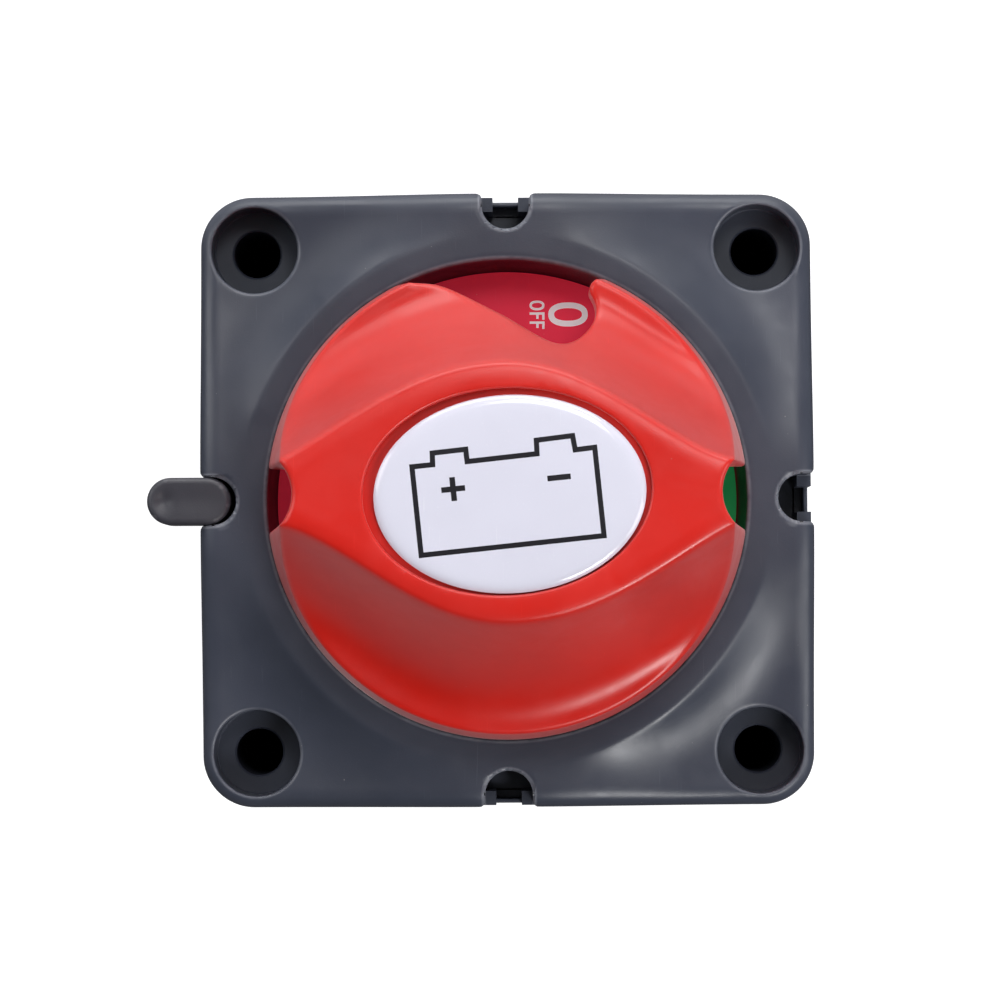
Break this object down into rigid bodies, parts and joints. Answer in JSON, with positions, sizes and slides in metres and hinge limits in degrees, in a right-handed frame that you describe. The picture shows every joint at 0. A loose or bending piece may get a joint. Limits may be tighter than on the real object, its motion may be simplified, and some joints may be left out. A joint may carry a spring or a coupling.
{
  "type": "battery switch",
  "caption": "Square marine battery isolator switch with a quarter-turn rotary grip knob, dial window, rear threaded studs, snap-out side panels and a joining key.",
  "frame": {"origin": "centre of the rear mounting plane, on the knob's axis", "axes": "+Z along the knob's axis, out of the panel towards the user; +Y up and +X right as the user faces the switch"},
  "size_m": [0.0749, 0.069, 0.075],
  "materials": {
    "slate_plastic": "satin moulded blue-grey plastic",
    "red_plastic": "semi-gloss moulded red plastic",
    "dial": "printed disc, half red and half green, white figures",
    "badge": "clear domed resin over a white print",
    "black_plastic": "glass-filled black plastic",
    "grey_plastic": "satin dark grey plastic",
    "rubber": "matt black rubber",
    "tinned_copper": "tin plate over copper",
    "copper": "bare copper contact bar",
    "stainless": "machined stainless steel"
  },
  "bodies": {
    "case": {"housing": "slate_plastic", "dial_plate": "dial", "stud_base": "black_plastic", "base_gasket": "rubber", "base_screw_1": "stainless", "base_screw_2": "stainless", "base_screw_3": "stainless", "base_screw_4": "stainless", "stud_left": "tinned_copper", "stud_right": "tinned_copper", "flat_washer_left": "stainless", "flat_washer_right": "stainless", "spring_washer_left": "stainless", "spring_washer_right": "stainless", "hex_nut_left": "stainless", "hex_nut_right": "stainless"},
    "knob_group": {"knob": "red_plastic", "knob_badge": "badge", "knob_screw": "stainless", "spindle": "grey_plastic", "shaft_oring": "rubber", "contact_spring": "stainless", "detent_spring_left": "stainless", "detent_spring_right": "stainless"},
    "bridge": {"contact_bridge": "copper"},
    "ball_left": {"detent_ball_left": "stainless"},
    "ball_right": {"detent_ball_right": "stainless"},
    "key": {"joining_key": "grey_plastic"},
    "panel_right": {"side_panel_right": "slate_plastic"},
    "panel_top": {"side_panel_top": "slate_plastic"},
    "panel_left": {"side_panel_left": "slate_plastic"},
    "panel_bottom": {"side_panel_bottom": "slate_plastic"}
  },
  "joints": [
    {"name": "knob_turn", "type": "hinge", "parent": "case", "child": "knob_group", "pos_m": [0, 0, 0.048], "axis": [0, 0, 1], "range_deg": [-90, 0]},
    {"name": "contact_drop", "type": "slide", "parent": "knob_group", "child": "bridge", "axis": [0, 0, 1], "range_m": [-0.00061, 0], "deforming": ["contact_spring"]},
    {"name": "detent_slide_left", "type": "slide", "parent": "knob_group", "child": "ball_left", "axis": [-1, 0, 0], "range_m": [0, 0.0006]},
    {"name": "detent_slide_right", "type": "slide", "parent": "knob_group", "child": "ball_right", "axis": [1, 0, 0], "range_m": [0, 0.0006]},
    {"name": "key_lift", "type": "slide", "parent": "case", "child": "key", "axis": [0, 0, 1], "range_m": [0, 0.0145]},
    {"name": "panel_pull_right", "type": "slide", "parent": "case", "child": "panel_right", "axis": [1, 0, 0], "range_m": [0, 0.008]},
    {"name": "panel_pull_top", "type": "slide", "parent": "case", "child": "panel_top", "axis": [0, 1, 0], "range_m": [0, 0.008]},
    {"name": "panel_pull_left", "type": "slide", "parent": "case", "child": "panel_left", "axis": [-1, 0, 0], "range_m": [0, 0.008]},
    {"name": "panel_pull_bottom", "type": "slide", "parent": "case", "child": "panel_bottom", "axis": [0, -1, 0], "range_m": [0, 0.008]}
  ],
  "couplings": [
    {"joint": "contact_drop", "follows": "knob_turn", "m_per_rad": 0.00038197}
  ]
}
